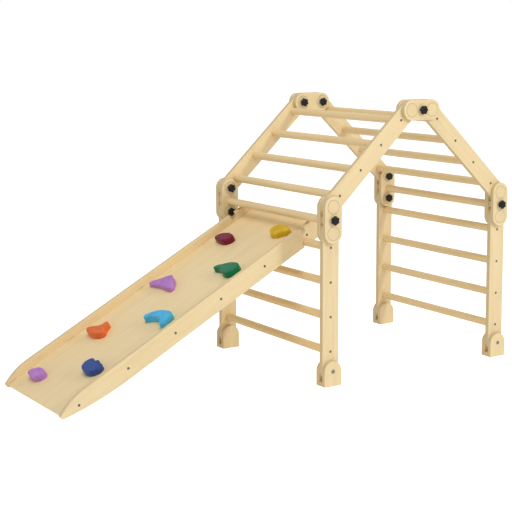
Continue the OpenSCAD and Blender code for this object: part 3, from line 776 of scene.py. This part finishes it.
# Each hold in millimetres: its place down and across the deck, height, passes of
# smoothing, rise of the top down and across the deck, and outline (down, across).
HOLDS = {
    "hold_lilac_pebble": (956, 125, 24, 16, (0.05, 0.0), [
        (22, 24), (6, 33), (-8, 24), (-20, 2), (-21, -26), (-14, -46), (2, -52), (18, -44), (26, -18)]),
    "hold_navy_shell": (838, -96, 24, 7, (-0.05, 0.05), [
        (30, 24), (16, 38), (0, 40), (-15, 33), (-21, 22), (-17, 12), (-6, 7), (-17, 1), (-24, -10),
        (-20, -20), (-6, -24), (-17, -31), (-18, -41), (-8, -50), (6, -53), (20, -46), (32, -30), (36, -6)]),
    "hold_orange_bean": (695, 121, 24, 16, (0.0, 0.0), [
        (32, 34), (20, 42), (9, 32), (0, 14), (-7, 0), (-17, -7), (-28, -7), (-36, -14), (-33, -25),
        (-18, -34), (-4, -46), (8, -60), (23, -55), (33, -34), (37, -6)]),
    "hold_sky_crescent": (559, -92, 25, 18, (-0.05, 0.0), [
        (25, 58), (12, 57), (-8, 40), (-24, 14), (-31, -14), (-34, -44), (-24, -60), (-4, -63), (14, -72),
        (30, -70), (28, -54), (15, -42), (9, -24), (10, 0), (18, 22), (30, 44)]),
    "hold_lilac_fin": (413, 122, 20, 9, (-0.20, -0.04), [
        (18, 66), (8, 64), (-4, 40), (-18, 14), (-33, -10), (-39, -28), (-32, -48), (-16, -68), (0, -86),
        (14, -86), (17, -66), (16, -38), (16, -8), (19, 24), (23, 52)]),
    "hold_green_leaf": (259, -107, 23, 24, (-0.05, -0.04), [
        (15, 70), (3, 65), (-10, 42), (-24, 14), (-31, -14), (-30, -38), (-18, -52), (0, -55), (19, -52),
        (31, -38), (32, -16), (26, 0), (19, 14), (17, 34), (21, 56)]),
    "hold_maroon_button": (114, 122, 23, 34, (-0.05, 0.0), [
        (20, 40), (8, 44), (-8, 34), (-18, 12), (-21, -16), (-16, -42), (-4, -53), (12, -50), (25, -34),
        (28, -6), (26, 20)]),
    "hold_yellow_drop": (16, -117, 23, 8, (-0.14, 0.05), [
        (24, 34), (10, 44), (-8, 40), (-21, 22), (-24, -6), (-19, -32), (-13, -50), (-7, -57), (-1, -46),
        (11, -28), (26, -8), (32, 14)]),
}


def spline(a, b, c, d, t):
    """Catmull-Rom value between b and c."""
    square, cube = 2 * a - 5 * b + 4 * c - d, 3 * b - a - 3 * c + d
    return 0.5 * (2 * b + (c - a) * t + square * t ** 2 + cube * t ** 3)


def curve(points, steps=6):
    """Smooth closed loop through the points."""
    loop = []
    for i, b in enumerate(points):
        a, c, d = points[i - 1], points[(i + 1) % len(points)], points[(i + 2) % len(points)]
        for k in range(steps):
            loop.append(tuple(spline(*axis, k / steps) for axis in zip(a, b, c, d)))
    return loop


def upright(outline, height, rise):
    """Mesh of an outline in millimetres (down, across) with upright sides and a sloping top."""
    loop = curve(outline)
    bm = bmesh.new()
    low = [bm.verts.new((-x / 1000, y / 1000, 0)) for x, y in loop]
    high = [bm.verts.new((-x / 1000, y / 1000, (height + rise[0] * x + rise[1] * y) / 1000)) for x, y in loop]
    bm.faces.new(low)
    bm.faces.new(high[::-1])
    for i in range(len(loop)):
        bm.faces.new((low[i - 1], low[i], high[i], high[i - 1]))
    bmesh.ops.recalc_face_normals(bm, faces=bm.faces)
    mesh = bpy.data.meshes.new("upright")
    bm.to_mesh(mesh)
    bm.free()
    return mesh


def skinned(mesh, voxel):
    """The mesh rebuilt from even small faces, as a bmesh."""
    lump = bpy.data.objects.new("lump", mesh)
    bpy.context.scene.collection.objects.link(lump)
    skin = lump.modifiers.new("skin", "REMESH")
    skin.mode, skin.voxel_size = "VOXEL", voxel
    solid = bpy.data.meshes.new_from_object(lump.evaluated_get(bpy.context.evaluated_depsgraph_get()))
    bm = bmesh.new()
    bm.from_mesh(solid)
    bpy.data.objects.remove(lump)
    return bm


HOLD_VOXEL = 0.0016
HOLD_BASE = 0.0035  # height of the rim that stays upright on the deck
BASE_PASSES = 4
HOLD_CLEAR = 0.0001  # between a hold and the deck


def hold_bm(height, passes, rise, outline):
    """Cast hold: an upright outline with a sloping top, softened above its base."""
    bm = skinned(upright(outline, height, rise), HOLD_VOXEL)
    for done in range(passes + BASE_PASSES):
        above = [v for v in bm.verts if v.co.z > HOLD_BASE]
        bmesh.ops.smooth_vert(bm, verts=above, factor=0.5, use_axis_x=True, use_axis_y=True, use_axis_z=True)
        if done < BASE_PASSES:
            base = [v for v in bm.verts if v.co.z <= HOLD_BASE]
            bmesh.ops.smooth_vert(bm, verts=base, factor=0.5, use_axis_x=True, use_axis_y=True)
    for v in bm.verts:
        v.co.z = max(v.co.z, HOLD_CLEAR)
    return bm


for node, (down, across, *shape) in HOLDS.items():
    slot = node.split("_")[1]
    place = ramp_place @ Matrix.Translation((-down / 1000, across / 1000, BOARD_MID + DECK_T / 2))
    piece(f"{node}_resin", hold_bm(*shape), place, "ramp", hold_materials[slot], [node], 180)

# ---------------------------------------------------------------- floor, light and camera

floor_mesh = bpy.data.meshes.new("floor")
floor_bm = bmesh.new()
bmesh.ops.create_grid(floor_bm, x_segments=2, y_segments=2, size=30)
floor_bm.to_mesh(floor_mesh)
floor_bm.free()
floor = bpy.data.objects.new("floor", floor_mesh)
bpy.context.scene.collection.objects.link(floor)
# The floor glows a little, and more to the camera, so that it shows as plain white.
white = Nodes("studio_floor")
seen_directly = white.tree.nodes.new("ShaderNodeLightPath").outputs["Is Camera Ray"]
glow = white.math("ADD", white.math("MULTIPLY", seen_directly, 0.52), 0.18)
white.finish((0.90, 0.90, 0.90, 1), 0.9, None, Emission_Color=(1, 1, 1, 1), Emission_Strength=glow)
floor_mesh.materials.append(white.material)

# The world lights the object softly, and the camera sees it as plain white.
world = bpy.data.worlds.new("studio")
bpy.context.scene.world = world
world.use_nodes = True
tree = world.node_tree
soft = tree.nodes["Background"]
soft.inputs["Color"].default_value = (0.96, 0.98, 1.0, 1)
soft.inputs["Strength"].default_value = 0.57
seen = tree.nodes.new("ShaderNodeBackground")
seen.inputs["Color"].default_value = (1, 1, 1, 1)
path = tree.nodes.new("ShaderNodeLightPath")
choose = tree.nodes.new("ShaderNodeMixShader")
tree.links.new(path.outputs["Is Camera Ray"], choose.inputs[0])
tree.links.new(soft.outputs[0], choose.inputs[1])
tree.links.new(seen.outputs[0], choose.inputs[2])
tree.links.new(choose.outputs[0], tree.nodes["World Output"].inputs[0])


def softbox(name, at, aim, size, power, tint=(1, 1, 1)):
    """Square lamp at one point, turned towards another."""
    data = bpy.data.lights.new(name, "AREA")
    data.shape, data.size, data.energy, data.color = "SQUARE", size, power, tint
    lamp = bpy.data.objects.new(name, data)
    lamp.location = at
    lamp.rotation_mode = "QUATERNION"
    lamp.rotation_quaternion = (Vector(aim) - Vector(at)).to_track_quat("-Z", "Y")
    bpy.context.scene.collection.objects.link(lamp)


centre = (0.2, 0, 0.4)
softbox("key", (1.9, -4.2, 3.1), centre, 0.7, 68, (1, 0.985, 0.96))
softbox("top", (-1.2, -0.8, 3.5), centre, 1.8, 38)

# The camera looks from the front left, a little above the middle of the object.
AZIMUTH, ELEVATION = math.radians(-33.8), math.radians(7.3)
level_out = math.cos(ELEVATION)
back = Vector((math.sin(AZIMUTH) * level_out, -math.cos(AZIMUTH) * level_out, math.sin(ELEVATION)))
right = Vector((math.cos(AZIMUTH), math.sin(AZIMUTH), 0))
up = back.cross(right)
camera_data = bpy.data.cameras.new("camera")
camera_data.sensor_width = 36.0
camera_data.lens = 90.66
camera_data.shift_x = -0.0574
camera_data.shift_y = -0.1057
camera_data.clip_end = 100
camera = bpy.data.objects.new("camera", camera_data)
bpy.context.scene.collection.objects.link(camera)
turned = Matrix((right, up, back)).transposed().to_4x4()
camera.matrix_world = Matrix.Translation((-2.458, -3.840, 1.188)) @ turned
bpy.context.scene.camera = camera
bpy.context.scene.view_settings.view_transform = "Standard"
